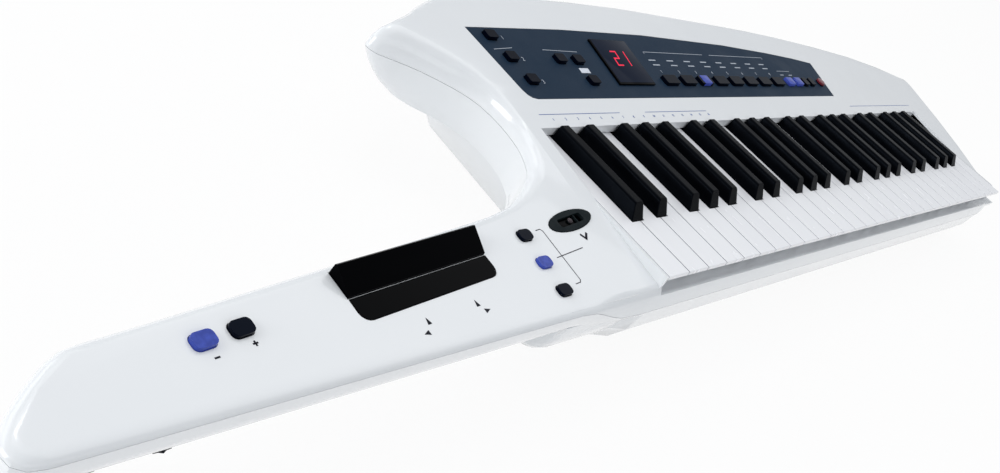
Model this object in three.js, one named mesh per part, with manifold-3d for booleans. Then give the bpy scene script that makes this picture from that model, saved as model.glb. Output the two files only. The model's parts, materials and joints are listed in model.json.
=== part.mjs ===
// A 49-key shoulder keyboard (keytar): glossy white case, slate panel, ribbon neck.
// Millimetres, +Z up. Inside this file x runs from the first key towards the tail,
// y from the front edge of the white keys to the rear, and z = 0 is the white key tops.
// The finished group is moved so that the middle of its underside is the origin.
import * as THREE from 'three';
import { mergeVertices } from 'three/addons/utils/BufferGeometryUtils.js';
import Module from 'manifold-3d';

const wasm = await Module();
wasm.setup();

// Keyboard
const octave_span = 165;
const octave_count = 4;
const whites_per_octave = 7;
const key_gap = 1;
const key_side_gap = 1;
const white_reach = 124;
const white_head = 44.7;
const white_plate = 3;
const key_depth = 9;
const key_wall = 1.6;
const key_tail = 6;
const comb_gap = 0.8;
const comb_rail = 5;
const comb_rail_height = 1.8;
const comb_rail_step = 3;
const key_stem_start = 9;
const black_height = 9.6;
const black_base_width = 12.6;
const black_top_width = 9.4;
const black_edge = 1.1;
const black_lean = 6;
const black_rear_gap = 1;
const notch_gap = 0.6;
const outer_black_offset = 3.4;
const inner_black_offset = 2.4;

// Key pivot and frame
const pivot_reach = 166;
const pivot_drop = 6;
const pivot_radius = 2.5;
const pivot_clearance = 0.4;
const key_travel = 9.5;
const stop_clearance = 0.5;
const frame_plate = 2;
const frame_drop = 28.5;
const frame_front = 22;
const frame_wall = 2.4;
const stop_reach = 26;

// Case
const neck_length = 387.4;
const neck_root_width = 73;
const horn_reach = 77.6;
const case_rear = 258;
const tail_flare = 71.5;
const front_edge = 5;
const front_flat = 3;
const top_front_drop = 7.5;
const top_slope_share = 0.115;
const seam_front_drop = 10.9;
const seam_slope_share = 0.05;
const seam_step = 10.8;
const seam_gap = 0.3;
const strip_drop = 12;
const strip_gap = 1;
const pan_drop = 30;
const pan_inset = 14;
const floor_drop = 68.1;
const heel_drop = 50;
const heel_length = 92;
const heel_width = 62;
const heel_corner = 16;
const heel_x = -52;
const heel_y = 30;
const heel_inset = 15;
const rim_lift = 1.5;
const case_wall = 2.8;
const opening_wall = 2.4;
const opening_wall_drop = 16;
const shelf_drop = 13.4;
const shelf_gap = 0.8;
const block_corner = 5;
const lip_width = 2.2;
const lip_clearance = 0.9;

// Panel and what sits in it
const panel_plate = 2;
const panel_ledge = 4;
const ledge_drop = 5;
const ledge_margin = 2;
const fit_gap = 0.3;
const panel_left_inset = 1;
const panel_width = 514;
const panel_front_reach = 148.5;
const panel_rear_margin = 39.5;
const display_left = 129;
const display_width = 48;
const display_rear_margin = 10.9;
const display_lean = 6;
const display_proud = 0.2;
const display_front_reach = 161.5;
const menu_cap_width = 10.5;
const menu_cap_depth = 7.5;
const tone_cap_width = 19;
const lit_cap_width = 12;
const small_cap_width = 9;
const round_cap_width = 9;
const row_cap_depth = 9;
const cap_corner = 1.2;
const cap_proud = 2.8;
const cap_gap = 0.4;
const web_plate = 1.4;
const web_margin = 3;
const tone_pitch = 27.4;
const tone_start = 205;
const tone_count = 8;
const tone_reach = 166;

// Neck controls
const bar_length = 100;
const bar_width = 15;
const bar_front_height = 1.6;
const bar_rear_height = 7;
const bar_edge = 1;
const bar_sink = 4.5;
const bar_centre_x = -175;
const bar_front_y = 37.4;
const neck_yaw = 5.6;
const bar_pin_radius = 1.5;
const bar_pin_length = 2.2;
const bar_pin_drop = 3;
const bar_pin_reach = 2.6;
const bar_cheek = 3;
const pad_depth = 13;
const pad_corner = 5.5;
const pad_proud = 0.4;
const pad_sink = 1.4;
const pad_gap = 1;
const rocker_length = 10.9;
const rocker_depth = 7.6;
const rocker_corner = 2.6;
const rocker_proud = 2;
const rocker_spacing = 18.6;
const rocker_first_x = -302.2;
const rocker_first_y = 27.2;
const button_length = 10.4;
const button_depth = 7;
const button_corner = 2.6;
const button_proud = 1.8;
const button_spacing = 18.6;
const button_x = -86;
const button_first_y = 12.3;
const flange_plate = 1;
const flange_margin = 1.2;
const sensor_length = 44.4;
const sensor_width = 13.5;
const sensor_x = -38.6;
const sensor_y = 54.4;
const sensor_yaw = 7.3;
const sensor_proud = 0.6;
const sensor_rim = 3.2;
const sensor_dish = 2.4;
const sensor_eye = 1.9;
const sensor_eye_height = 1.6;

// Knobs, pins, lid, jacks, boards and posts
const knob_radius = 8;
const knob_height = 7.9;
const knob_grip_depth = 0.7;
const knob_grips = 12;
const knob_shaft = 3;
const knob_collar = 5.4;
const knob_collar_height = 2;
const knob_y = 13.4;
const knob_first_x = -349.4;
const knob_spacing = 31.4;
const pin_radius = 7;
const pin_neck_radius = 4;
const pin_length = 11.5;
const pin_head = 3.5;
const pin_foot = 2;
const pin_seat_radius = 9;
const pin_seat_depth = 16;
const horn_pin_x = 8;
const horn_pin_inset = 8.2;
const horn_pin_drop = 14;
const tail_pin_reach = 51.4;
const tail_pin_y = 92;
const tail_pin_drop = 16.3;
const lid_length = 150;
const lid_width = 78;
const lid_x = 210;
const lid_y = 128;
const lid_plate = 2.4;
const lid_slide = 8;
const lid_lip = 1.2;
const lid_lip_width = 2;
const bay_height = 26;
const bay_wall = 2;
const jack_plate_width = 132;
const jack_plate_height = 26;
const jack_plate_thickness = 2;
const jack_x = 420;
const jack_inset = 33;
const jack_ledge = 3;
const jack_drop = 34;
const jack_bore = 6.6;
const jack_collar = 10;
const jack_collar_proud = 1.5;
const jack_spacing = 22;
const jack_count = 6;
const board_plate = 1.6;
const post_radius = 4;
const post_rows_front = 62;
const post_rows_rear = 150;
const overrun = 30;

// Finishes
const finishes = {
  case_white: { color: 0xf1f3f6, roughness: 0.16, metalness: 0 },
  key_white: { color: 0xf3f3f7, roughness: 0.22, metalness: 0 },
  key_black: { color: 0x101113, roughness: 0.34, metalness: 0 },
  panel_slate: { color: 0x2c3541, roughness: 0.38, metalness: 0.1 },
  gloss_black: { color: 0x0c0d10, roughness: 0.12, metalness: 0 },
  navy_cap: { color: 0x14182b, roughness: 0.2, metalness: 0 },
  lit_blue: { color: 0x3a50c8, roughness: 0.2, metalness: 0 },
  display_red: { color: 0x240508, roughness: 0.08, metalness: 0 },
  sensor_grey: { color: 0x2b2e31, roughness: 0.4, metalness: 0 },
  frame_grey: { color: 0x8a8d92, roughness: 0.55, metalness: 0 },
  board_green: { color: 0x1f5a3a, roughness: 0.5, metalness: 0.05 },
  knob_navy: { color: 0x151b33, roughness: 0.3, metalness: 0 },
  pin_steel: { color: 0xb9bcc0, roughness: 0.28, metalness: 0.9 },
  jack_metal: { color: 0x3a3d42, roughness: 0.4, metalness: 0.6 },
};

// Counts of facets and steps
const fine_facets = 24;
const coarse_facets = 12;
const corner_facets = 4;
const cap_facets = 2;
const profile_steps = 4;

// Worked out from the sizes above
const white_pitch = octave_span / whites_per_octave;
const white_count = octave_count * whites_per_octave + 1;
const keyboard_width = white_pitch * white_count - key_gap / 2;
const opening_left = key_gap / 2 - key_side_gap;
const opening_right = keyboard_width + key_side_gap;
const tail_end = keyboard_width + tail_flare;
const key_end = pivot_reach + key_tail;
const top_angle = Math.atan(top_slope_share);
const top_z = (y) => top_slope_share * y - top_front_drop;
const seam_z = (y) => seam_slope_share * y - seam_front_drop;
const hump_z = (y) => seam_z(y) - seam_step - seam_gap;
const horn_depth = case_rear - neck_root_width;
const horn_pin_y = case_rear - horn_pin_inset;
const rear_end = horn_pin_y + seam_gap + pin_length;
const tail_pin_x = keyboard_width + tail_pin_reach;
const jack_reach = case_rear - jack_inset;
const panel_depth = case_rear - panel_front_reach - panel_rear_margin;

// Case outline, as shares. Each row: x and y on the seam, x and y where the flat top
// begins, share of the pan's inset, share of the seam's step under the keyboard.
// The horn's rows hold a share of the wall in place of the pan's inset, and end with x and y
// where the pan's flat floor begins, and its roundness. Their y is a share of the way from
// the neck's root to the rear.
const front_shares = [
  [-0.1, -0.8, -0.1, 0.6, 1, -0.05],
  [-0.085, -0.86, -0.085, 0.8, 1, 0.25],
  [-0.07, -0.9, -0.07, 0.9, 1, 0.58],
  [-0.053, -0.95, -0.053, 0.97, 1, 0.89],
  [-0.0293, -0.98, -0.0293, 1, 1, 0.985],
  [0, -1, 0, 1.02, 1, 1],
  [0.944, -1, 0.94, 1.02, 1, 1],
];
const right_shares = [
  [-0.2, -0.008, -0.24, 0.015, 0.9, 1],
  [0.055, 0.023, 0, 0.039, 0.9, 1],
  [0.2, 0.078, 0.14, 0.085, 0.9, 0.75],
  [0.325, 0.132, 0.262, 0.132, 1, 0.45],
  [0.58, 0.28, 0.52, 0.275, 1, 0.1],
  [0.8, 0.44, 0.735, 0.435, 0.9, 0],
  [0.955, 0.589, 0.89, 0.581, 0.6, 0],
  [1, 0.65, 0.935, 0.636, 0.4, 0],
  [0.998, 0.669, 0.935, 0.655, 0.4, 0],
  [0.957, 0.688, 0.9, 0.671, 0.4, 0],
];
const rear_shares = [
  [0.983, 0.713, 0.974, 0.687, 0.6, 0],
  [0.928, 0.775, 0.919, 0.742, 1, 0],
  [0.851, 0.831, 0.844, 0.796, 1, 0],
  [0.755, 0.878, 0.75, 0.842, 1, 0],
  [0.657, 0.915, 0.654, 0.878, 1, 0],
  [0.57, 0.942, 0.568, 0.905, 1, 0],
  [0.488, 0.959, 0.487, 0.922, 1, 0],
  [0.398, 0.977, 0.398, 0.939, 1, 0],
  [0.293, 0.994, 0.293, 0.957, 1, 0],
  [0.199, 1, 0.199, 0.963, 1, 0],
  [0.091, 0.992, 0.093, 0.957, 1, 0],
  [0.027, 0.977, 0.029, 0.944, 1, 0],
  [-0.008, 0.957, -0.003, 0.928, 1, 0],
];
const horn_shares = [
  [-0.309, 0.894, -0.25, 0.8605, 1, 0, -0.27, 0.8215, 0.8],
  [-0.541, 0.8382, -0.477, 0.8131, 1, 0, -0.42, 0.7908, 0.6],
  [-0.747, 0.8006, -0.67, 0.7783, 0.9, 0, -0.5, 0.7769, 0.4],
  [-0.902, 0.7783, -0.754, 0.7594, 0.7, 0, -0.54, 0.7643, 0.3],
  [-0.983, 0.7643, -0.78, 0.7504, 0.6, 0, -0.562, 0.7518, 0.3],
  [-1, 0.7448, -0.777, 0.7406, 0.6, 0, -0.573, 0.7378, 0.3],
  [-0.954, 0.7127, -0.741, 0.7281, 0.7, 0, -0.575, 0.7197, 0.35],
  [-0.777, 0.6709, -0.625, 0.7016, 0.9, 0, -0.56, 0.6876, 0.45],
  [-0.628, 0.6304, -0.483, 0.6555, 1, 0, -0.49, 0.6388, 0.5],
  [-0.49, 0.5816, -0.348, 0.6011, 1, 0, -0.38, 0.5914, 0.6],
  [-0.361, 0.5272, -0.24, 0.5412, 1, 0, -0.27, 0.5286, 0.7],
  [-0.26, 0.4589, -0.162, 0.4617, 1, 0, -0.185, 0.4589, 0.7],
  [-0.218, 0.3641, -0.142, 0.3682, 1, 0, -0.16, 0.3669, 0.7],
  [-0.226, 0.2915, -0.155, 0.3027, 1, 0, -0.182, 0.2971, 0.7],
  [-0.258, 0.2302, -0.18, 0.2358, 1, 0, -0.225, 0.2413, 0.7],
  [-0.363, 0.1493, -0.29, 0.1242, 1, 0, -0.33, 0.166, 0.7],
  [-0.506, 0.0977, -0.445, 0.0621, 1, 0, -0.46, 0.1172, 0.8],
];
const neck_shares = [
  [-0.129, 1.158, -0.121, 1.062, 0.4, 0],
  [-0.16, 1.075, -0.155, 0.979, 0.7, 0],
  [-0.196, 1, -0.192, 0.908, 1, 0],
  [-0.248, 0.945, -0.2465, 0.847, 1, 0],
  [-0.299, 0.908, -0.298, 0.812, 1, 0],
  [-0.59, 0.726, -0.59, 0.642, 1, 0],
  [-0.826, 0.576, -0.826, 0.498, 0.9, 0],
  [-0.896, 0.536, -0.893, 0.462, 0.75, 0],
  [-0.915, 0.515, -0.91, 0.449, 0.65, 0],
  [-0.934, 0.461, -0.927, 0.4, 0.65, 0],
  [-0.96, 0.36, -0.95, 0.305, 0.6, 0],
  [-0.985, 0.236, -0.972, 0.199, 0.5, 0],
  [-0.9975, 0.137, -0.982, 0.1205, 0.42, 0],
  [-1, 0.075, -0.984, 0.079, 0.4, 0],
  [-0.9965, 0.007, -0.982, 0.049, 0.4, 0],
  [-0.9855, -0.037, -0.976, 0.034, 0.42, 0],
  [-0.968, -0.052, -0.9655, 0.036, 0.6, 0],
  [-0.215, -0.052, -0.215, 0.04, 1, -0.2],
];

function rowsFrom(shares, spanX, startX, spanY, topSpanY = spanY, startY = 0) {
  return shares.map(([seamX, seamY, topX, topY, insetShare, stepShare, floorX, floorY, roundness = 1]) => ({
    seam: [startX + seamX * spanX, startY + seamY * spanY],
    top: [startX + topX * spanX, startY + topY * topSpanY],
    floor: floorX === undefined ? null : [startX + floorX * spanX, startY + floorY * spanY],
    insetShare,
    stepShare,
    roundness,
    wallShare: floorX === undefined ? 1 : insetShare,
  }));
}

// Adds a row in the middle of each stretch, on the curve through the rows around it
function curved(rows) {
  return rows.flatMap((row, i) => {
    const next = rows[i + 1];
    if (!next) return [row];
    const before = rows[i - 1] || row;
    const after = rows[i + 2] || next;
    const between = (key) => middlePoint(before[key], row[key], next[key], after[key]);
    return [row, {
      seam: between('seam'),
      top: between('top'),
      floor: row.floor && next.floor && between('floor'),
      insetShare: (row.insetShare + next.insetShare) / 2,
      stepShare: (row.stepShare + next.stepShare) / 2,
      roundness: (row.roundness + next.roundness) / 2,
      wallShare: (row.wallShare + next.wallShare) / 2,
    }];
  });
}

function middlePoint(...around) {
  const [before, from, to, after] = around.map(([x, y]) => new THREE.Vector2(x, y));
  const span = from.distanceTo(to);
  const leaving = to.clone().sub(before).setLength(Math.min(span, from.distanceTo(before)));
  const arriving = after.clone().sub(from).setLength(Math.min(span, to.distanceTo(after)));
  return from.add(to).divideScalar(2).add(leaving.sub(arriving).divideScalar(8)).toArray();
}

const outline = [
  ...rowsFrom(front_shares, keyboard_width, 0, front_edge, front_flat),
  ...rowsFrom(right_shares, tail_flare, keyboard_width, case_rear),
  ...rowsFrom(rear_shares, tail_end, 0, case_rear),
  ...curved(rowsFrom(horn_shares, horn_reach, 0, horn_depth, horn_depth, neck_root_width)),
  ...rowsFrom(neck_shares, neck_length, 0, neck_root_width),
];
const seam_line = outline.map((row) => row.seam);
const top_line = outline.map((row) => row.top);
const seam_heights = outline.map((row) => seam_z(row.seam[1]) - row.stepShare * seam_step);

// Solids: geometry to manifold and back
function toSolid(geometry) {
  const bare = geometry.index ? geometry.toNonIndexed() : geometry.clone();
  for (const name of Object.keys(bare.attributes)) {
    if (name !== 'position') bare.deleteAttribute(name);
  }
  const merged = mergeVertices(bare);
  const corners = merged.index.array;
  const faces = [];
  for (let i = 0; i < corners.length; i += 3) {
    const [a, b, c] = [corners[i], corners[i + 1], corners[i + 2]];
    if (a !== b && b !== c && c !== a) faces.push(a, b, c);
  }
  return new wasm.Manifold(new wasm.Mesh({
    numProp: 3,
    vertProperties: new Float32Array(merged.attributes.position.array),
    triVerts: new Uint32Array(faces),
  }));
}

function toGeometry(solid) {
  const mesh = solid.getMesh();
  const geometry = new THREE.BufferGeometry();
  geometry.setAttribute('position', new THREE.BufferAttribute(Float32Array.from(mesh.vertProperties), 3));
  geometry.setIndex(Array.from(mesh.triVerts));
  geometry.computeVertexNormals();
  return geometry;
}

function box(x0, x1, y0, y1, z0, z1) {
  const geometry = new THREE.BoxGeometry(x1 - x0, y1 - y0, z1 - z0);
  geometry.translate((x0 + x1) / 2, (y0 + y1) / 2, (z0 + z1) / 2);
  return toSolid(geometry);
}

function upright(x, y, z0, z1, radius, facets = coarse_facets) {
  const geometry = new THREE.CylinderGeometry(radius, radius, z1 - z0, facets);
  geometry.rotateX(Math.PI / 2);
  geometry.translate(x, y, (z0 + z1) / 2);
  return toSolid(geometry);
}

function rodAlongX(x0, x1, y, z, radius, facets = coarse_facets) {
  const geometry = new THREE.CylinderGeometry(radius, radius, x1 - x0, facets);
  geometry.rotateZ(Math.PI / 2);
  geometry.translate((x0 + x1) / 2, y, z);
  return toSolid(geometry);
}

function rodAlongY(x, y0, y1, z, radius, facets = coarse_facets) {
  const geometry = new THREE.CylinderGeometry(radius, radius, y1 - y0, facets);
  geometry.translate(x, (y0 + y1) / 2, z);
  return toSolid(geometry);
}

// Leaves out points that repeat or lie on a straight run
function bends(points) {
  return points.filter(([x, y], i) => {
    const [fromX, fromY] = points[(i + points.length - 1) % points.length];
    const [toX, toY] = points[(i + 1) % points.length];
    return (x - fromX) * (toY - y) !== (y - fromY) * (toX - x);
  });
}

function slab(points, z0, z1) {
  const shape = new THREE.Shape(bends(points).map(([x, y]) => new THREE.Vector2(x, y)));
  const geometry = new THREE.ExtrudeGeometry(shape, { depth: z1 - z0, bevelEnabled: false });
  geometry.translate(0, 0, z0);
  return toSolid(geometry);
}

// A bar along x whose end view is given as points of y and z
function barAlongX(section, x0, x1) {
  const shape = new THREE.Shape(section.map(([y, z]) => new THREE.Vector2(y, z)));
  const geometry = new THREE.ExtrudeGeometry(shape, { depth: x1 - x0, bevelEnabled: false });
  geometry.rotateX(Math.PI / 2);
  geometry.rotateZ(Math.PI / 2);
  geometry.translate(x0, 0, 0);
  return toSolid(geometry);
}

function turned(profile, facets) {
  const geometry = new THREE.LatheGeometry(profile.map(([r, z]) => new THREE.Vector2(r, z)), facets);
  geometry.rotateX(Math.PI / 2);
  return toSolid(geometry);
}

function roundedOutline(length, depth, corner, x = 0, y = 0, facets = corner_facets) {
  const points = [];
  const quarters = [[1, 1], [-1, 1], [-1, -1], [1, -1]];
  quarters.forEach(([sideX, sideY], quarter) => {
    for (let step = 0; step <= facets; step += 1) {
      const angle = (quarter + step / facets) * Math.PI / 2;
      const centreX = sideX * (length / 2 - corner);
      const centreY = sideY * (depth / 2 - corner);
      points.push([x + centreX + corner * Math.cos(angle), y + centreY + corner * Math.sin(angle)]);
    }
  });
  return points;
}

function ovalOutline(length, width) {
  const points = [];
  for (let step = 0; step < fine_facets; step += 1) {
    const angle = step / fine_facets * Math.PI * 2;
    points.push([length / 2 * Math.cos(angle), width / 2 * Math.sin(angle)]);
  }
  return points;
}

function joined(solids) {
  return solids.reduce((whole, solid) => whole.add(solid));
}

// Moves every point of a closed outline inwards, square to the outline
function inset(points, distances) {
  return points.map((point, i) => {
    const before = points[(i + points.length - 1) % points.length];
    const after = points[(i + 1) % points.length];
    const along = new THREE.Vector2(after[0] - before[0], after[1] - before[1]).normalize();
    const distance = Array.isArray(distances) ? distances[i] : distances;
    return [point[0] - along.y * distance, point[1] + along.x * distance];
  });
}

// A closed skin through rings of equally many points, lowest ring first
function loft(rings) {
  const count = rings[0].length;
  const positions = rings.flat(2);
  const index = [];
  for (let ring = 0; ring + 1 < rings.length; ring += 1) {
    for (let i = 0; i < count; i += 1) {
      const a = ring * count + i;
      const b = ring * count + (i + 1) % count;
      index.push(a, b, b + count, a, b + count, a + count);
    }
  }
  const cap = (ring) => THREE.ShapeUtils.triangulateShape(ring.map(([x, y]) => new THREE.Vector2(x, y)), []);
  for (const [a, b, c] of cap(rings[0])) index.push(a, c, b);
  const last = (rings.length - 1) * count;
  for (const [a, b, c] of cap(rings[rings.length - 1])) index.push(last + a, last + b, last + c);
  const geometry = new THREE.BufferGeometry();
  geometry.setAttribute('position', new THREE.Float32BufferAttribute(positions, 3));
  geometry.setIndex(index);
  return toSolid(geometry);
}

const ringAt = (points, heights) => points.map(([x, y], i) => [x, y, heights[i]]);
const ringOn = (points, heightOf) => points.map(([x, y]) => [x, y, heightOf(y)]);

// Rings that turn over an edge, from a wall's foot to the start of a flat:
// roundness 1 is a quarter of an ellipse, 0 a straight slope
function roundedRings(footRing, flatRing, roundness) {
  const rings = [];
  for (let step = 0; step <= profile_steps; step += 1) {
    const angle = step / profile_steps * Math.PI / 2;
    rings.push(footRing.map(([x, y, z], i) => {
      const round = roundness ? roundness[i] : 1;
      const straight = (1 - round) * step / profile_steps;
      const inward = round * (1 - Math.cos(angle)) + straight;
      const upward = round * Math.sin(angle) + straight;
      return [
        x + (flatRing[i][0] - x) * inward,
        y + (flatRing[i][1] - y) * inward,
        z + (flatRing[i][2] - z) * upward,
      ];
    }));
  }
  return rings;
}

// Frames of the pieces: the sloping top of the case, and the neck's row of controls
const deck = new THREE.Group();
deck.position.z = -top_front_drop;
deck.rotation.x = top_angle;
deck.updateMatrix();
const deckY = (y) => y / Math.cos(top_angle);

function onDeck(solid, x = 0, y = 0, yaw = 0) {
  const turn = new THREE.Matrix4().makeRotationZ(yaw);
  turn.setPosition(x, y, 0);
  return solid.transform(deck.matrix.clone().multiply(turn).elements);
}

const yaw_of_neck = THREE.MathUtils.degToRad(neck_yaw);
const yaw_of_sensor = THREE.MathUtils.degToRad(sensor_yaw);
const bar_place = [bar_centre_x, deckY(bar_front_y), yaw_of_neck];
const rocker_places = [0, 1].map((step) => [
  rocker_first_x + step * rocker_spacing * Math.cos(yaw_of_neck),
  deckY(rocker_first_y) + step * rocker_spacing * Math.sin(yaw_of_neck),
  yaw_of_neck,
]);
const button_places = [0, 1, 2].map((step) => [button_x, deckY(button_first_y) + step * button_spacing, 0]);
const sensor_place = [sensor_x, deckY(sensor_y), yaw_of_sensor];

// Keys
const sharp_steps = {
  1: -inner_black_offset,
  2: inner_black_offset,
  4: -outer_black_offset,
  5: 0,
  6: outer_black_offset,
};
const sharp_names = { 1: 'cs', 2: 'ds', 4: 'fs', 5: 'gs', 6: 'as' };
const white_names = ['c', 'd', 'e', 'f', 'g', 'a', 'b'];
const blackCentre = (index) => index * white_pitch + sharp_steps[index % whites_per_octave];
const hasSharp = (index) => index > 0 && index < white_count - 1 && index % whites_per_octave in sharp_steps;

function pivotSlot(x0, x1) {
  const radius = pivot_radius + pivot_clearance;
  const slot = box(x0, x1, pivot_reach - radius, pivot_reach + radius, -key_depth * 2, -pivot_drop);
  return slot.add(rodAlongX(x0, x1, pivot_reach, -pivot_drop, radius));
}

// An upturned trough: what a key has under its plate
function keyStem(x0, x1, y0, y1, top, ceiling) {
  const block = box(x0, x1, y0, y1, -key_depth, top);
  const hollow = box(x0 + key_wall, x1 - key_wall, y0 + key_wall, y1 - key_wall, -key_depth - overrun, ceiling);
  return block.subtract(hollow).subtract(pivotSlot(x0 - key_wall, x1 + key_wall));
}

function whiteKey(index) {
  const left = index * white_pitch + key_gap / 2;
  const right = (index + 1) * white_pitch - key_gap / 2;
  const half = black_base_width / 2 + notch_gap;
  const stemLeft = hasSharp(index) ? blackCentre(index) + half : left;
  const stemRight = hasSharp(index + 1) ? blackCentre(index + 1) - half : right;
  const plate = slab([
    [left, 0],
    [right, 0],
    [right, white_head],
    [stemRight, white_head],
    [stemRight, key_end],
    [stemLeft, key_end],
    [stemLeft, white_head],
    [left, white_head],
  ], -white_plate, 0);
  return plate.add(keyStem(stemLeft, stemRight, key_stem_start, key_end, -white_plate / 2, -white_plate));
}

function blackKey(index) {
  const centre = blackCentre(index);
  const base = black_base_width / 2;
  const crown = black_top_width / 2;
  const front = white_head + notch_gap;
  const rear = white_reach - black_rear_gap;
  const shape = new THREE.Shape([
    [-base, -white_plate],
    [base, -white_plate],
    [base, 0],
    [crown, black_height - black_edge],
    [crown - black_edge, black_height],
    [black_edge - crown, black_height],
    [-crown, black_height - black_edge],
    [-base, 0],
  ].map(([x, z]) => new THREE.Vector2(x, z)));
  const geometry = new THREE.ExtrudeGeometry(shape, { depth: rear - front, bevelEnabled: false });
  geometry.rotateX(Math.PI / 2);
  geometry.translate(centre, rear, 0);
  const slope = barAlongX([
    [front - overrun, 0],
    [front, 0],
    [front + black_lean, black_height],
    [front + black_lean, black_height + overrun],
    [front - overrun, black_height + overrun],
  ], centre - black_base_width, centre + black_base_width);
  const cap = toSolid(geometry).subtract(slope);
  return cap.add(keyStem(centre - base, centre + base, front, key_end, 0, -white_plate));
}

// A comb: keys of one colour that hang on one rail behind their pivot
function keyComb(keys, spans, level) {
  const railTop = -level * comb_rail_step;
  const railStart = key_end + comb_gap;
  const roots = spans.map(([x0, x1]) => box(x0, x1, key_end - key_wall, railStart + fit_gap,
    railTop - comb_rail_height, railTop));
  const rail = box(spans[0][0], spans[spans.length - 1][1], railStart, key_end + comb_rail,
    railTop - comb_rail_height, railTop);
  return joined([...keys, rail, ...roots]);
}

function stemSpan(index) {
  const half = black_base_width / 2 + notch_gap;
  return [
    hasSharp(index) ? blackCentre(index) + half : index * white_pitch + key_gap / 2,
    hasSharp(index + 1) ? blackCentre(index + 1) - half : (index + 1) * white_pitch - key_gap / 2,
  ];
}

function capSpan(index) {
  return [blackCentre(index) - black_base_width / 2, blackCentre(index) + black_base_width / 2];
}

// The chassis that carries the keys: plate, stop wall, pivot wall and pivot rod
function keyFrame() {
  const x0 = opening_left + fit_gap;
  const x1 = opening_right - fit_gap;
  const floor = frame_plate - frame_drop;
  const stopTop = -key_depth - (pivot_reach - stop_reach) / pivot_reach * key_travel - stop_clearance;
  const half = frame_wall / 2;
  return joined([
    box(x0, x1, frame_front, key_end, -frame_drop, floor),
    box(x0, x1, stop_reach - half, stop_reach + half, -frame_drop, stopTop),
    box(x0, x1, pivot_reach - half, pivot_reach + half, -frame_drop, -pivot_drop),
    rodAlongX(x0, x1, pivot_reach, -pivot_drop, pivot_radius),
  ]);
}

// Panel, seen square on
const panel_shares = [
  [0.036, 0],
  [0.971, 0],
  [1, 0.65],
  [0.93, 0.73],
  [0.835, 0.81],
  [0.68, 0.91],
  [0.427, 0.99],
  [0.212, 0.985],
  [0, 0.93],
  [0.018, 0.12],
  [0.022, 0.05],
  [0.027, 0.018],
];
const panelOutline = panel_shares.map(([x, y]) => [
  panel_left_inset + x * panel_width,
  deckY(panel_front_reach) + y * panel_depth,
]);
const windowOutline = inset(panelOutline, panel_ledge);
const display_rear = deckY(panel_front_reach) + panel_depth - display_rear_margin;
const displayOutline = [
  [display_left, deckY(display_front_reach)],
  [display_left + display_width, deckY(display_front_reach)],
  [display_left + display_width + display_lean, display_rear],
  [display_left + display_lean, display_rear],
];

// Panel buttons: x as a share of the panel's width, y as a share of its depth
const menu_shares = [
  [0.0365, 0.82],
  [0.045, 0.535],
  [0.052, 0.24],
  [0.15, 0.53],
  [0.191, 0.525],
  [0.189, 0.235],
];
const row_share = (tone_reach - panel_front_reach) / panel_depth;
const tone_shares = Array.from({ length: tone_count }, (_, i) => [
  (tone_start - panel_left_inset + i * tone_pitch) / panel_width,
  row_share,
]);
const lit_shares = [0.82, 0.855].map((x) => [x, row_share]);
const small_shares = [0.885, 0.9135].map((x) => [x, row_share]);
const round_shares = [[0.957, row_share]];
const capsOf = (shares, width, depth, corner = cap_corner) => shares.map(([x, y]) => ({
  x: panel_left_inset + x * panel_width,
  y: deckY(panel_front_reach) + y * panel_depth,
  width,
  depth,
  corner,
}));
const menuCaps = capsOf(menu_shares, menu_cap_width, menu_cap_depth);
const toneCaps = capsOf(tone_shares, tone_cap_width, row_cap_depth);
const roundCaps = capsOf(round_shares, round_cap_width, round_cap_width, round_cap_width / 2);
const panelCaps = [
  ...menuCaps,
  ...toneCaps,
  ...capsOf(lit_shares, lit_cap_width, row_cap_depth),
  ...capsOf(small_shares, small_cap_width, row_cap_depth),
  ...roundCaps,
];
const capOutline = (cap, gap) => roundedOutline(cap.width + gap * 2, cap.depth + gap * 2, cap.corner + gap,
  cap.x, cap.y, cap.corner > cap_corner ? corner_facets : cap_facets);

function controlPanel() {
  const holes = panelCaps.map((cap) => slab(capOutline(cap, cap_gap), -overrun, overrun));
  const displayHole = slab(inset(displayOutline, -fit_gap), -overrun, overrun);
  const plate = slab(inset(panelOutline, fit_gap), -panel_plate, 0);
  return plate.subtract(joined(holes)).subtract(displayHole);
}

function displayWindow() {
  const pane = slab(displayOutline, -panel_plate - fit_gap * 2, display_proud);
  const foot = slab(inset(displayOutline, -flange_margin), -panel_plate - fit_gap - flange_plate,
    -panel_plate - fit_gap);
  return pane.add(foot);
}

// One moulded web under the panel carries all its button caps
function panelButtons() {
  const top = -panel_plate - fit_gap;
  const bottom = top - web_plate;
  const caps = panelCaps.map((cap) => slab(capOutline(cap, 0), bottom, cap_proud));
  const front = deckY(panel_front_reach);
  const displayFront = deckY(display_front_reach) - flange_margin - fit_gap * 2;
  const menuRight = display_left - flange_margin - fit_gap * 2;
  const menuLeft = menuCaps[0].x - menu_cap_width / 2 - web_margin;
  const menuTop = menuCaps[0].y + menu_cap_depth / 2 + web_margin;
  const rowTop = toneCaps[0].y + row_cap_depth / 2 + web_margin;
  const rowLeft = toneCaps[0].x - tone_cap_width / 2 - web_margin;
  const rowRight = roundCaps[0].x + round_cap_width / 2;
  const web = joined([
    box(menuLeft, rowRight, front, displayFront, bottom, top),
    box(menuLeft, menuRight, displayFront, menuTop, bottom, top),
    box(rowLeft, rowRight, displayFront, rowTop, bottom, top),
  ]).intersect(slab(inset(windowOutline, fit_gap * 2), bottom, top));
  return joined([web, ...caps]);
}

function mainBoard() {
  const top = -ledge_drop - fit_gap;
  return slab(inset(panelOutline, fit_gap * 2), top - board_plate, top);
}

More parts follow.
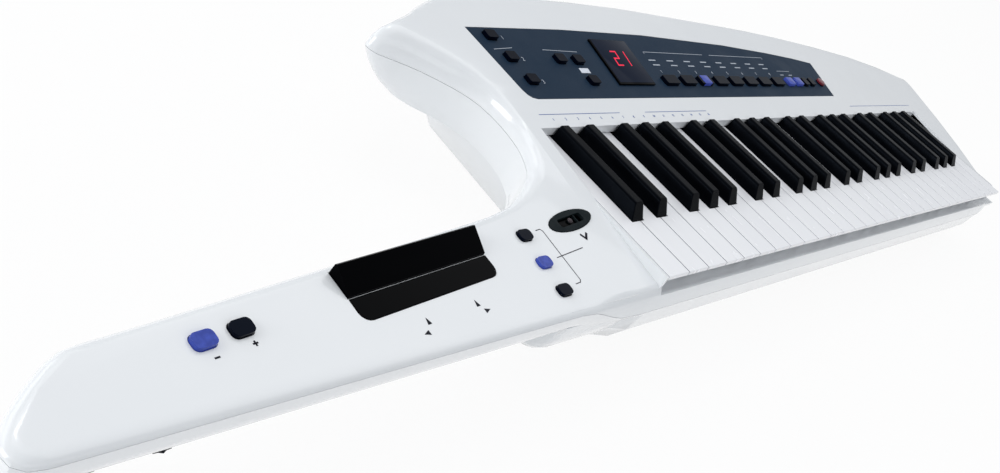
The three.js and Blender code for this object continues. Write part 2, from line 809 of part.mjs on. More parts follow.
// Neck controls, in their own frames on the sloping top
function modulationBar() {
  const half = bar_length / 2;
  const bar = barAlongX([
    [fit_gap, -bar_sink],
    [bar_width, -bar_sink],
    [bar_width, bar_rear_height - bar_edge],
    [bar_width - bar_edge, bar_rear_height],
    [fit_gap + bar_edge, bar_front_height],
    [fit_gap, bar_front_height - bar_edge / 2],
  ], -half, half);
  const pins = rodAlongX(-half - bar_pin_length, half + bar_pin_length, bar_pin_reach, -bar_pin_drop, bar_pin_radius);
  return bar.add(pins);
}

function touchPad() {
  const half = bar_length / 2;
  const outlinePoints = [
    ...roundedOutline(bar_length, pad_depth * 2, pad_corner).filter(([, y]) => y < 0),
    [half, -pad_gap / 2],
    [-half, -pad_gap / 2],
  ];
  return outlinePoints;
}

function flangedCap(points, proud) {
  const cap = slab(points, -case_wall - fit_gap - flange_plate, proud);
  const flange = slab(inset(points, -flange_margin), -case_wall - fit_gap - flange_plate, -case_wall - fit_gap);
  return cap.add(flange);
}

const rockerOutline = roundedOutline(rocker_length, rocker_depth, rocker_corner);
const buttonOutline = roundedOutline(button_length, button_depth, button_corner);
const sensorOutline = ovalOutline(sensor_length, sensor_width);

function beamSensor() {
  const body = flangedCap(sensorOutline, sensor_proud);
  const dish = slab(roundedOutline(sensor_length * 0.56, sensor_width * 0.42, sensor_rim / 2),
    sensor_proud - sensor_dish, overrun);
  const eye = upright(0, 0, -case_wall, sensor_proud - sensor_dish + sensor_eye_height, sensor_eye);
  return body.subtract(dish).add(eye);
}

// Lower case: a shallow pan under the whole outline, a deep hump and a heel under the neck root
const hump_shares = [
  [-0.014, 0.0023, 0.008, 0.135, 1],
  [0.942, 0.0023, 0.936, 0.135, 1],
  [0.976, 0.0133, 0.947, 0.145, 1],
  [1.0005, 0.042, 0.955, 0.172, 1],
  [1.017, 0.1, 0.958, 0.228, 1],
  [1.029, 0.475, 0.959, 0.475, 1],
  [1.034, 0.665, 0.959, 0.722, 1],
  [1.01, 0.764, 0.937, 0.779, 1],
  [0.82, 0.863, 0.79, 0.802, 1],
  [0.439, 0.932, 0.439, 0.825, 1],
  [0.035, 0.932, 0.085, 0.85, 1],
  [-0.004, 0.901, 0.054, 0.86, 0.6],
  [-0.0176, 0.84, 0.0385, 0.835, 0.25],
  [-0.0176, 0.437, 0.031, 0.47, 0.25],
  [-0.029, 0.369, 0.025, 0.41, 0.3],
  [-0.0586, 0.308, 0, 0.35, 0.6],
  [-0.0966, 0.247, -0.034, 0.29, 0.9],
  [-0.0996, 0.0646, -0.03, 0.2, 1],
];
const humpPoint = (x, y) => [x * keyboard_width, y * (case_rear + front_edge) - front_edge];

// A bowl: its rim ring above, its flat ring below, rounded between them
function bowl(rimRing, flatRing, topRings, roundness) {
  return loft([...roundedRings(rimRing, flatRing, roundness).reverse(), ...topRings]);
}

function panSolids() {
  const rim = inset(seam_line, outline.map((row) => row.wallShare * case_wall));
  const sloped = inset(seam_line, outline.map((row) => row.insetShare * pan_inset));
  const flat = outline.map((row, i) => row.floor || sloped[i]);
  const rimHeights = seam_heights.map((z) => z - seam_gap);
  const roundness = outline.map((row) => row.roundness);
  const outer = bowl(ringAt(seam_line, rimHeights), ringOn(flat, () => -pan_drop), [
    ringAt(rim, rimHeights),
    ringAt(rim, rimHeights.map((z) => z - rim_lift)),
  ], roundness);
  const inner = bowl(ringAt(rim, rimHeights.map((z) => z - rim_lift)),
    ringOn(flat, () => case_wall - pan_drop),
    [ringAt(rim, rimHeights.map((z) => z + overrun))], roundness);
  return [outer, inner];
}

function humpSolids() {
  const top = hump_shares.map(([x, y]) => humpPoint(x, y));
  const bottom = hump_shares.map(([, , x, y]) => humpPoint(x, y));
  const roundness = hump_shares.map((row) => row[4]);
  const outer = bowl(ringOn(top, hump_z), ringOn(bottom, () => -floor_drop), [], roundness);
  const innerTop = inset(top, case_wall);
  const inner = bowl(ringOn(innerTop, hump_z), ringOn(bottom, () => case_wall - floor_drop),
    [ringOn(innerTop, (y) => hump_z(y) + seam_step)], roundness);
  return [outer, inner];
}

function heelSolids() {
  const top = roundedOutline(heel_length, heel_width, heel_corner, heel_x, heel_y);
  const bottom = roundedOutline(heel_length - heel_inset * 2, heel_width - heel_inset * 2,
    heel_corner / 2, heel_x, heel_y);
  const outer = bowl(ringOn(top, hump_z), ringOn(bottom, () => -heel_drop), []);
  const innerTop = inset(top, case_wall);
  const inner = bowl(ringOn(innerTop, hump_z), ringOn(bottom, () => case_wall - heel_drop),
    [ringOn(innerTop, (y) => hump_z(y) + seam_step / 2)]);
  return [outer, inner];
}

function framePosts() {
  const spots = [
    [0.09, post_rows_front],
    [0.32, post_rows_front],
    [0.56, post_rows_front],
    [0.79, post_rows_front],
    [0.93, post_rows_front],
    [0.13, post_rows_rear],
    [0.47, post_rows_rear],
    [0.7, post_rows_rear],
    [0.91, post_rows_rear],
  ];
  return joined(spots.map(([x, y]) => upright(x * keyboard_width, y, case_wall / 2 - floor_drop,
    -frame_drop - seam_gap, post_radius)));
}

const knobPlaces = [0, 1].map((step) => [knob_first_x + step * knob_spacing, knob_y]);

function lowerCase() {
  const [pan, panHollow] = panSolids();
  const [hump, humpHollow] = humpSolids();
  const [heel, heelHollow] = heelSolids();
  const jackHalf = jack_plate_width / 2 + fit_gap;
  const jackTall = jack_plate_height / 2 + fit_gap;
  const pocketFloor = jack_reach - jack_plate_thickness - fit_gap;
  const pocket = box(jack_x - jackHalf, jack_x + jackHalf, pocketFloor, case_rear + overrun,
    -jack_drop - jackTall, jackTall - jack_drop);
  const pocketShell = box(jack_x - jackHalf - case_wall, jack_x + jackHalf + case_wall, pocketFloor - case_wall,
    case_rear + overrun, -jack_drop - jackTall - case_wall, jackTall + case_wall - jack_drop);
  const pocketWindow = box(jack_x - jackHalf + jack_ledge, jack_x + jackHalf - jack_ledge,
    pocketFloor - case_wall * 2, case_rear, jack_ledge - jack_drop - jackTall, jackTall - jack_ledge - jack_drop);
  const bayLeft = lid_x - lid_length / 2 - fit_gap;
  const bayRight = lid_x + lid_length / 2 + fit_gap;
  const bayHalf = lid_width / 2 + fit_gap;
  const bayRoof = bay_height - floor_drop;
  const wellRight = bayRight + lid_slide + fit_gap;
  const bayShell = box(bayLeft - bay_wall, wellRight + bay_wall, lid_y - bayHalf - bay_wall, lid_y + bayHalf + bay_wall,
    case_wall / 2 - floor_drop, bayRoof + bay_wall);
  const bay = box(bayLeft, bayRight, lid_y - bayHalf, lid_y + bayHalf, lid_lip - floor_drop, bayRoof);
  const well = box(bayLeft, wellRight, lid_y - bayHalf, lid_y + bayHalf,
    lid_lip - floor_drop, lid_lip + lid_plate + fit_gap * 2 - floor_drop);
  const doorway = box(bayLeft, bayRight, lid_y - bayHalf + lid_lip_width, lid_y + bayHalf - lid_lip_width,
    -floor_drop - overrun, bayRoof);
  const hornSeat = rodAlongY(horn_pin_x, horn_pin_y - pin_seat_depth, horn_pin_y, -horn_pin_drop, pin_seat_radius);
  const tailSeat = rodAlongX(tail_pin_x - pin_seat_depth, tail_pin_x, tail_pin_y, -tail_pin_drop, pin_seat_radius);
  const shell = pan.add(hump).add(heel).add(hornSeat).add(tailSeat).subtract(pocket);
  const hollow = panHollow.add(humpHollow).add(heelHollow).subtract(pocketShell);
  const knobHoles = knobPlaces.map(([x, y]) => upright(x, y, -floor_drop, 0, knob_shaft + fit_gap));
  return shell.subtract(hollow).add(bayShell).subtract(bay).subtract(well).subtract(doorway).add(framePosts())
    .subtract(pocketWindow).subtract(joined(knobHoles));
}

function upperCase() {
  const rim = inset(seam_line, outline.map((row) => row.wallShare * case_wall));
  const lifted = seam_heights.map((z) => z + rim_lift);
  const outer = loft([
    ringAt(rim, lifted),
    ringAt(rim, seam_heights),
    ...roundedRings(ringAt(seam_line, seam_heights), ringOn(top_line, top_z)),
  ]);
  const inner = loft([
    ringAt(rim, seam_heights.map((z) => z - overrun)),
    ...roundedRings(ringAt(rim, seam_heights), ringOn(top_line, (y) => top_z(y) - case_wall)),
  ]);
  const walls = joined([
    box(opening_left - opening_wall, opening_left, 0, white_reach + lip_width, -opening_wall_drop, 0),
    box(opening_right, opening_right + opening_wall, front_edge * 2, white_reach + lip_width, -opening_wall_drop, 0),
    box(opening_left - opening_wall, opening_right + opening_wall, white_reach, white_reach + lip_width,
      lip_clearance, overrun),
    onDeck(slab(inset(panelOutline, -ledge_margin), -ledge_drop, 0)),
    onDeck(barCheeks(), ...bar_place),
  ]).intersect(outer.add(box(-overrun, tail_end, 0, case_rear, -overrun, 0)));
  const shelf = box(opening_left - opening_wall, opening_right + opening_wall, case_wall - front_edge,
    key_stem_start - shelf_gap, -shelf_drop - case_wall, -shelf_drop);
  const opening = joined([
    box(opening_left, opening_right, -strip_gap, white_reach, -shelf_drop, overrun),
    box(opening_left, opening_right, -overrun, white_reach, -strip_drop, overrun),
    box(opening_left, opening_right, key_stem_start - shelf_gap, white_reach, -overrun, overrun),
  ]);
  const cornerX = opening_left - block_corner;
  const cornerY = block_corner - front_edge;
  const corner = box(cornerX, opening_left + overrun, -overrun, cornerY, -strip_drop, overrun)
    .subtract(upright(cornerX, cornerY, -overrun, overrun * 2, block_corner, fine_facets));
  const cuts = [
    onDeck(slab(panelOutline, -panel_plate - fit_gap, overrun)),
    onDeck(slab(windowOutline, -overrun, overrun)),
    onDeck(slab(barSlot(), -overrun / 2, overrun), ...bar_place),
    onDeck(barPinHoles(), ...bar_place),
    onDeck(slab(inset(touchPad(), -fit_gap), -pad_sink - fit_gap, overrun), ...bar_place),
    ...rocker_places.map((place) => onDeck(slab(inset(rockerOutline, -cap_gap), -overrun / 2, overrun), ...place)),
    ...button_places.map((place) => onDeck(slab(inset(buttonOutline, -cap_gap), -overrun / 2, overrun), ...place)),
    onDeck(slab(inset(sensorOutline, -fit_gap), -overrun / 2, overrun), ...sensor_place),
  ];
  return outer.subtract(inner).add(walls).add(shelf).subtract(opening).subtract(corner).subtract(joined(cuts));
}

function barSlot() {
  const half = bar_length / 2 + fit_gap;
  return [
    [-half, 0],
    [half, 0],
    [half, bar_width + fit_gap],
    [-half, bar_width + fit_gap],
  ];
}

function barCheeks() {
  const inner = bar_length / 2 + fit_gap;
  const outer = inner + bar_cheek;
  const drop = bar_pin_drop + bar_pin_radius + fit_gap + bar_edge;
  const reach = bar_pin_reach + bar_pin_radius + fit_gap + bar_edge;
  return joined([
    box(inner, outer, bar_pin_reach - reach, bar_pin_reach + reach, -drop, -case_wall / 2),
    box(-outer, -inner, bar_pin_reach - reach, bar_pin_reach + reach, -drop, -case_wall / 2),
  ]);
}

function barPinHoles() {
  const reach = bar_length / 2 + bar_pin_length + fit_gap;
  return rodAlongX(-reach, reach, bar_pin_reach, -bar_pin_drop, bar_pin_radius + fit_gap);
}

function volumeKnob() {
  const top = -pan_drop - fit_gap;
  const grip = [];
  for (let step = 0; step < knob_grips * 2; step += 1) {
    const angle = step / knob_grips * Math.PI;
    const radius = knob_radius - (step % 2) * knob_grip_depth;
    grip.push([radius * Math.cos(angle), radius * Math.sin(angle)]);
  }
  const collarFoot = case_wall + fit_gap - pan_drop;
  return joined([
    slab(grip, top - knob_height, top),
    upright(0, 0, top - knob_height / 2, collarFoot + knob_collar_height, knob_shaft),
    upright(0, 0, collarFoot, collarFoot + knob_collar_height, knob_collar),
  ]);
}

function strapPin() {
  return turned([
    [0, 0],
    [pin_radius, 0],
    [pin_radius, pin_foot],
    [pin_neck_radius, pin_foot * 1.5],
    [pin_neck_radius, pin_length - pin_head],
    [pin_radius, pin_length - pin_head / 2],
    [pin_radius * 0.8, pin_length],
    [0, pin_length],
  ], coarse_facets);
}

function batteryLid() {
  return box(lid_x - lid_length / 2, lid_x + lid_length / 2, lid_y - lid_width / 2, lid_y + lid_width / 2,
    lid_lip + fit_gap - floor_drop, lid_lip + fit_gap + lid_plate - floor_drop);
}

function jackPlate() {
  const halfWidth = jack_plate_width / 2;
  const halfHeight = jack_plate_height / 2;
  const plate = box(jack_x - halfWidth, jack_x + halfWidth, jack_reach - jack_plate_thickness, jack_reach,
    -jack_drop - halfHeight, halfHeight - jack_drop);
  const places = Array.from({ length: jack_count }, (_, i) => jack_x + (i - (jack_count - 1) / 2) * jack_spacing);
  const collars = places.map((x) => rodAlongY(x, jack_reach - jack_plate_thickness / 2, jack_reach + jack_collar_proud,
    -jack_drop, jack_collar / 2));
  const bores = places.map((x) => rodAlongY(x, jack_reach - overrun, jack_reach + overrun, -jack_drop, jack_bore / 2));
  return joined([plate, ...collars]).subtract(joined(bores));
}

// The assembly
const keytar = new THREE.Group();
const neckRow = new THREE.Group();
neckRow.position.set(bar_place[0], bar_place[1], 0);
neckRow.rotation.z = yaw_of_neck;
deck.add(neckRow);
keytar.add(deck);

function piece(name, solid, finish, parent = keytar) {
  const { color, roughness, metalness } = finishes[finish];
  const material = new THREE.MeshStandardMaterial({ color, roughness, metalness });
  const mesh = new THREE.Mesh(toGeometry(solid), material);
  mesh.name = name;
  parent.add(mesh);
  return mesh;
}

function deckPiece(name, solid, finish, [x, y, yaw]) {
  const mesh = piece(name, solid, finish, deck);
  mesh.position.set(x, y, 0);
  mesh.rotation.z = yaw;
}

piece('upper_case', upperCase(), 'case_white');
piece('lower_case', lowerCase(), 'case_white');
piece('key_frame', keyFrame(), 'frame_grey');

const single_octaves = octave_count - 1;
for (let index = 0; index < single_octaves * whites_per_octave; index += 1) {
  const octave = Math.floor(index / whites_per_octave) + 1;
  const degree = index % whites_per_octave;
  piece(`key_${white_names[degree]}${octave}`, whiteKey(index), 'key_white');
  if (hasSharp(index + 1)) {
    piece(`key_${sharp_names[(index + 1) % whites_per_octave]}${octave}`, blackKey(index + 1), 'key_black');
  }
}

const top_octave = single_octaves * whites_per_octave;
const firstComb = [0, 2, 4, 6, 7].map((step) => top_octave + step);
const secondComb = [1, 3, 5].map((step) => top_octave + step);
const blackComb = [1, 2, 4, 5, 6].map((step) => top_octave + step);
piece('white_comb_c_e_g_b_c', keyComb(firstComb.map(whiteKey), firstComb.map(stemSpan), 0), 'key_white');
piece('white_comb_d_f_a', keyComb(secondComb.map(whiteKey), secondComb.map(stemSpan), 1), 'key_white');
piece('black_comb', keyComb(blackComb.map(blackKey), blackComb.map(capSpan), 2), 'key_black');

piece('control_panel', controlPanel(), 'panel_slate', deck);
piece('display_window', displayWindow(), 'display_red', deck);
piece('panel_buttons', panelButtons(), 'navy_cap', deck);
piece('main_board', mainBoard(), 'board_green', deck);
piece('modulation_bar', modulationBar(), 'gloss_black', neckRow);
piece('touch_pad', slab(touchPad(), -pad_sink, pad_proud), 'gloss_black', neckRow);
deckPiece('octave_down_button', flangedCap(rockerOutline, rocker_proud), 'lit_blue', rocker_places[0]);
deckPiece('octave_up_button', flangedCap(rockerOutline, rocker_proud), 'navy_cap', rocker_places[1]);
deckPiece('assign_button', flangedCap(buttonOutline, button_proud), 'navy_cap', button_places[0]);
deckPiece('filter_button', flangedCap(buttonOutline, button_proud), 'lit_blue', button_places[1]);
deckPiece('pitch_button', flangedCap(buttonOutline, button_proud), 'navy_cap', button_places[2]);
deckPiece('beam_sensor', beamSensor(), 'sensor_grey', sensor_place);

['volume_knob', 'aftertouch_knob'].forEach((name, i) => {
  piece(name, volumeKnob(), 'knob_navy').position.set(...knobPlaces[i], 0);
});

const hornPin = piece('strap_pin_horn', strapPin(), 'pin_steel');
hornPin.position.set(horn_pin_x, horn_pin_y + seam_gap, -horn_pin_drop);
hornPin.rotation.x = -Math.PI / 2;
const tailPin = piece('strap_pin_tail', strapPin(), 'pin_steel');
tailPin.position.set(tail_pin_x + seam_gap, tail_pin_y, -tail_pin_drop);
tailPin.rotation.y = Math.PI / 2;
piece('battery_lid', batteryLid(), 'case_white');
piece('jack_plate', jackPlate(), 'jack_metal');

keytar.position.set((neck_length - tail_end) / 2, (front_edge - rear_end) / 2, floor_drop);

export default keytar;
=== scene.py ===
"""Looks of a 49-key shoulder keyboard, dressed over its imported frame. Metres, +Z up."""

import json
import math

import bmesh
import bpy
from mathutils import Matrix, Vector

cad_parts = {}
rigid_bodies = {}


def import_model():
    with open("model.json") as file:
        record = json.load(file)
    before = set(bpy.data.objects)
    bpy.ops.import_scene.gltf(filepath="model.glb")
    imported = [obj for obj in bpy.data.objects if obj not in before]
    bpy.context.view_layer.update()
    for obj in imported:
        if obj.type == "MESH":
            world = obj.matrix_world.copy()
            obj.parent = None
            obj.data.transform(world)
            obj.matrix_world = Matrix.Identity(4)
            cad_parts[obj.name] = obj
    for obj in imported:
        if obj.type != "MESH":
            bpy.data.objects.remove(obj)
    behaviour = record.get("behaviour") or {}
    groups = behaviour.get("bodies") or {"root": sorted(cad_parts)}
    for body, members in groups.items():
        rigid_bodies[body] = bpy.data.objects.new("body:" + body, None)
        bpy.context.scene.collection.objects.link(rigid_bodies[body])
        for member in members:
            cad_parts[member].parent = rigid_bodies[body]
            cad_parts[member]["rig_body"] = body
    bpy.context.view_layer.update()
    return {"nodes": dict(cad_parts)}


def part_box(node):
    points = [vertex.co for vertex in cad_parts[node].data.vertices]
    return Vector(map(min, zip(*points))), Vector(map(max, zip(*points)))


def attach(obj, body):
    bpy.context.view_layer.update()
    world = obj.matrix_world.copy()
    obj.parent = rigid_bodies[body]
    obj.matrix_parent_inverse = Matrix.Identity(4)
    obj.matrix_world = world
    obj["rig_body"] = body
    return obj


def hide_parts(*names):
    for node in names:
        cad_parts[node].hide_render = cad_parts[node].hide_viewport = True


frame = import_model()

# The small shapes below are given in millimetres, from the first white key's front left
# corner at the level of the key tops. The deck is the case's top, which slopes up to the rear.
MM = 0.001
HALF_KEY_GAP = 0.5
DECK_SLOPE = 0.115
DECK_DROP = 7.5
first_key_low, first_key_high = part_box("key_c1")
KEY_CORNER = Vector((first_key_low.x - HALF_KEY_GAP * MM, first_key_low.y, first_key_high.z))
KEYBOARD_PLACE = Matrix.Translation(KEY_CORNER) @ Matrix.Scale(MM, 4)
DECK_TILT = math.atan(DECK_SLOPE)
DECK_PLACE = Matrix.Translation((0, 0, -DECK_DROP)) @ Matrix.Rotation(DECK_TILT, 4, "X")
DECK_STRETCH = 1 / math.cos(DECK_TILT)


# Camera: seen from beyond the neck's end, turned about the line of sight
CAMERA_PLACE = (-0.727303, -0.305184, 0.346861)
CAMERA_TURN = (55.62041, -29.22523, -44.06026)

camera_data = bpy.data.cameras.new("photo_camera")
camera_data.lens = 39.467
camera_data.sensor_width = 36
camera_data.clip_start = 0.01
photo_camera = bpy.data.objects.new("photo_camera", camera_data)
photo_camera.location = CAMERA_PLACE
photo_camera.rotation_euler = [math.radians(a) for a in CAMERA_TURN]
bpy.context.scene.collection.objects.link(photo_camera)
bpy.context.scene.camera = photo_camera


# Finishes
NOISE_LOW, NOISE_HIGH = 0.3, 0.7
CLOUD_STARTS, CLOUD_FULL = 0.35, 0.65
# Painted shade on the white keys' sides: where a face starts and ends pointing along the keyboard,
# and the colour of the painted shade
KEY_SHADE_STARTS, KEY_SHADE_FULL = 0.75, 0.95
PAINTED_KEY_SIDE_SHADE = (0.42, 0.42, 0.46, 1)
# The mix node's colour sockets, which share their names with those of its other types
MIX_A, MIX_B, MIX_RESULT = 6, 7, 2


def shader_of(material):
    return material.node_tree.nodes["Principled BSDF"]


def new_finish(name, colour, roughness, **settings):
    """A material whose even values sit on the shader itself."""
    material = bpy.data.materials.new(name)
    material.use_nodes = True
    sockets = shader_of(material).inputs
    sockets["Base Color"].default_value = (*colour, 1)
    sockets["Roughness"].default_value = roughness
    for socket, value in settings.items():
        sockets[socket.replace("_", " ")].default_value = value
    return material


def grain(material, scale, detail=2, stretch=(1, 1, 1)):
    """A noise in the object's own space, with its scale in bumps per metre."""
    nodes, links = material.node_tree.nodes, material.node_tree.links
    place = nodes.new("ShaderNodeTexCoord")
    mapping = nodes.new("ShaderNodeMapping")
    mapping.inputs["Scale"].default_value = stretch
    noise = nodes.new("ShaderNodeTexNoise")
    noise.inputs["Scale"].default_value = scale
    noise.inputs["Detail"].default_value = detail
    links.new(place.outputs["Object"], mapping.inputs["Vector"])
    links.new(mapping.outputs["Vector"], noise.inputs["Vector"])
    return noise.outputs["Fac"]


def vary_roughness(material, smoothest, roughest, **noise):
    """Lets the roughness wander between two values."""
    nodes, links = material.node_tree.nodes, material.node_tree.links
    height = grain(material, **noise)
    span = nodes.new("ShaderNodeMapRange")
    span.inputs["From Min"].default_value = NOISE_LOW
    span.inputs["From Max"].default_value = NOISE_HIGH
    span.inputs["To Min"].default_value = smoothest
    span.inputs["To Max"].default_value = roughest
    links.new(height, span.inputs["Value"])
    links.new(span.outputs["Result"], shader_of(material).inputs["Roughness"])


def vary_colour(material, dark, light, **noise):
    """Lets the colour wander between two colours."""
    nodes, links = material.node_tree.nodes, material.node_tree.links
    height = grain(material, **noise)
    ramp = nodes.new("ShaderNodeValToRGB")
    starts, full = ramp.color_ramp.elements
    starts.position, full.position = CLOUD_STARTS, CLOUD_FULL
    starts.color, full.color = (*dark, 1), (*light, 1)
    links.new(height, ramp.inputs["Fac"])
    links.new(ramp.outputs["Color"], shader_of(material).inputs["Base Color"])


def raise_bumps(material, strength, distance, **noise):
    """Raises a grain on the surface, with its height in metres."""
    nodes, links = material.node_tree.nodes, material.node_tree.links
    height = grain(material, **noise)
    bump = nodes.new("ShaderNodeBump")
    bump.inputs["Strength"].default_value = strength
    bump.inputs["Distance"].default_value = distance
    links.new(height, bump.inputs["Height"])
    links.new(bump.outputs["Normal"], shader_of(material).inputs["Normal"])


def gloss_case_white():
    """Moulded white with a clear gloss, faint ripples of the moulding and hand haze."""
    material = new_finish("gloss_case_white", (0.83, 0.85, 0.865), 0.2,
                          Coat_Weight=0.6, Coat_Roughness=0.03)
    vary_roughness(material, 0.16, 0.26, scale=22, detail=4)
    vary_colour(material, (0.822, 0.843, 0.86), (0.842, 0.86, 0.874), scale=5, detail=3)
    raise_bumps(material, 0.08, 0.0002, scale=160)
    return material


def key_white():
    """White key moulding, a little violet, with the fine drag of fingers along each key and a
    painted shade on the sides that face the next key.
    """
    material = new_finish("key_white", (0.9, 0.91, 0.94), 0.24,
                          Coat_Weight=0.15, Coat_Roughness=0.08)
    vary_roughness(material, 0.22, 0.28, scale=60, detail=3, stretch=(2, 0.7, 1))
    vary_colour(material, (0.9, 0.905, 0.93), (0.925, 0.93, 0.95), scale=9)
    # Painted shade on the sides of the key, darker where the face points along the keyboard
    dull_key_sides(material)
    raise_bumps(material, 0.06, 0.0001, scale=900)
    return material


def dull_key_sides(material):
    """Paints shade on the sides that face the next key, because they get less light than the tops.
    """
    nodes, links = material.node_tree.nodes, material.node_tree.links
    colour = shader_of(material).inputs["Base Color"]
    place = nodes.new("ShaderNodeNewGeometry")
    parts = nodes.new("ShaderNodeSeparateXYZ")
    side = nodes.new("ShaderNodeMath")
    side.operation = "ABSOLUTE"
    edge = nodes.new("ShaderNodeMapRange")
    edge.inputs["From Min"].default_value = KEY_SHADE_STARTS
    edge.inputs["From Max"].default_value = KEY_SHADE_FULL
    # Mixes the painted shade over the key's own colour
    painted_shade = nodes.new("ShaderNodeMix")
    painted_shade.data_type = "RGBA"
    painted_shade.inputs[MIX_B].default_value = PAINTED_KEY_SIDE_SHADE
    top_colour = colour.links[0].from_socket
    links.new(place.outputs["True Normal"], parts.inputs["Vector"])
    links.new(parts.outputs["X"], side.inputs[0])
    links.new(side.outputs["Value"], edge.inputs["Value"])
    links.new(edge.outputs["Result"], painted_shade.inputs["Factor"])
    links.new(top_colour, painted_shade.inputs[MIX_A])
    links.new(painted_shade.outputs[MIX_RESULT], colour)


def key_black():
    """Satin black with a fine spark-eroded grain, worn smoother in patches."""
    material = new_finish("key_black", (0.0008, 0.001, 0.0016), 0.3,
                          IOR=1.12, Specular_Tint=(0.6, 0.75, 1, 1))
    vary_roughness(material, 0.22, 0.38, scale=45, detail=3)
    raise_bumps(material, 0.2, 0.0001, scale=2600, detail=3)
    return material


def slate_panel():
    """Painted slate blue with a fine pearl in the paint."""
    material = new_finish("slate_panel", (0.014, 0.03, 0.056), 0.5, IOR=1.12)
    vary_colour(material, (0.011, 0.025, 0.048), (0.018, 0.036, 0.064), scale=3500)
    vary_roughness(material, 0.36, 0.5, scale=30, detail=3)
    raise_bumps(material, 0.08, 0.00005, scale=3000)
    return material


def piano_black():
    """Polished black, hazed where fingers slide."""
    material = new_finish("piano_black", (0.0004, 0.0005, 0.0009), 0.12, IOR=1.09)
    vary_roughness(material, 0.08, 0.2, scale=50, detail=4, stretch=(0.4, 3, 1))
    return material


def navy_cap():
    """Dark navy moulding with a soft gloss."""
    material = new_finish("navy_cap", (0.0012, 0.0022, 0.007), 0.16,
                          IOR=1.14, Specular_Tint=(0.5, 0.7, 1, 1))
    vary_roughness(material, 0.1, 0.24, scale=140, detail=3)
    return material


def lit_blue_cap():
    """Milky blue cap with its lamp on, brighter in the clouds of the moulding."""
    material = new_finish("lit_blue_cap", (0.03, 0.055, 0.3), 0.16, IOR=1.25,
                          Emission_Strength=0.1, Emission_Color=(0.12, 0.17, 0.85, 1))
    vary_colour(material, (0.024, 0.044, 0.25), (0.04, 0.07, 0.36), scale=300)
    return material


def lit_red_cap():
    """Round cap of clear dark red with its lamp low."""
    material = new_finish("lit_red_cap", (0.09, 0.006, 0.014), 0.14, Coat_Weight=0.3,
                          Emission_Strength=0.05, Emission_Color=(0.8, 0.05, 0.08, 1))
    vary_colour(material, (0.07, 0.004, 0.01), (0.12, 0.01, 0.02), scale=300)
    return material


def smoked_window():
    """Smoked window over the digits, slightly clouded."""
    material = new_finish("smoked_window", (0.01, 0.015, 0.03), 0.08, IOR=1.08)
    vary_roughness(material, 0.05, 0.14, scale=40, detail=3)
    return material


def glowing_red():
    """Lit display segments, a little uneven along each bar."""
    material = new_finish("glowing_red", (0.4, 0.01, 0.04), 0.4, IOR=1.1,
                          Emission_Strength=0.6, Emission_Color=(1.0, 0.045, 0.11, 1))
    vary_colour(material, (0.4, 0.008, 0.02), (0.6, 0.02, 0.04), scale=900, detail=1)
    return material


def grey_housing():
    """Dark grey moulding with a fine matt grain."""
    material = new_finish("grey_housing", (0.007, 0.012, 0.014), 0.5, IOR=1.15)
    vary_roughness(material, 0.42, 0.6, scale=200, detail=3)
    raise_bumps(material, 0.2, 0.0001, scale=2500)
    return material


def dark_lens():
    """Dark red-brown lens, clear and a little scratched."""
    material = new_finish("dark_lens", (0.05, 0.04, 0.045), 0.12, IOR=1.3)
    vary_roughness(material, 0.08, 0.2, scale=900, detail=3)
    return material


def milled_aluminium():
    """Bare aluminium with the long marks of the mill."""
    material = new_finish("milled_aluminium", (0.52, 0.53, 0.55), 0.42, Metallic=1.0)
    vary_roughness(material, 0.34, 0.5, scale=300, detail=3, stretch=(0.1, 4, 1))
    return material


def board_green():
    """Circuit board with an uneven green varnish."""
    material = new_finish("board_green", (0.02, 0.13, 0.07), 0.45)
    vary_colour(material, (0.015, 0.1, 0.055), (0.03, 0.16, 0.09), scale=120, detail=4)
    return material


def turned_steel():
    """Turned steel, polished unevenly."""
    material = new_finish("turned_steel", (0.6, 0.61, 0.63), 0.25, Metallic=1.0)
    vary_roughness(material, 0.18, 0.34, scale=700)
    return material


def black_plate():
    """Black coated sheet metal with a fine texture."""
    material = new_finish("black_plate", (0.03, 0.032, 0.036), 0.4, Metallic=0.5)
    vary_roughness(material, 0.32, 0.5, scale=400, detail=3)
    raise_bumps(material, 0.15, 0.0001, scale=2200)
    return material


def printed(name, colour):
    """Screen print, slightly uneven in the ink."""
    brighter, lifted = 1.15, 0.01
    material = new_finish(name, colour, 0.45, IOR=1.2)
    pale = tuple(min(1, c * brighter + lifted) for c in colour)
    vary_colour(material, colour, pale, scale=1500)
    return material


CASE_WHITE = gloss_case_white()
KEY_WHITE = key_white()
KEY_BLACK = key_black()
SLATE = slate_panel()
POLISHED_BLACK = piano_black()
NAVY = navy_cap()
LIT_BLUE = lit_blue_cap()
LIT_RED = lit_red_cap()
SMOKED = smoked_window()
RED_GLOW = glowing_red()
HOUSING = grey_housing()
LENS = dark_lens()
ALUMINIUM = milled_aluminium()
BOARD = board_green()
STEEL = turned_steel()
PLATE = black_plate()
NAVY_INK = printed("navy_ink", (0.004, 0.005, 0.012))
BLUE_INK = printed("blue_ink", (0.06, 0.12, 0.35))
PALE_INK = printed("pale_ink", (0.42, 0.46, 0.52))
LABEL_WHITE = printed("label_white", (0.66, 0.7, 0.78))


# Making pieces
SMOOTH_ANGLE = math.radians(35)
WELD_DISTANCE = 0.02 * MM
FLAT_ANGLE = math.radians(0.3)
ROUNDED_ANGLE = math.radians(30)
EVENING_WEIGHT = 50


def finished_mesh(name, shape, material):
    """Writes a bmesh into a mesh with one finish, and frees the bmesh."""
    mesh = bpy.data.meshes.new(name)
    shape.to_mesh(mesh)
    shape.free()
    mesh.materials.append(material)
    return mesh


def smooth_mesh(mesh):
    mesh.shade_smooth()
    mesh.set_sharp_from_angle(angle=SMOOTH_ANGLE)


def linked_object(mesh):
    """Shows a mesh as an object of the same name."""
    shown = bpy.data.objects.new(mesh.name, mesh)
    bpy.context.scene.collection.objects.link(shown)
    return shown


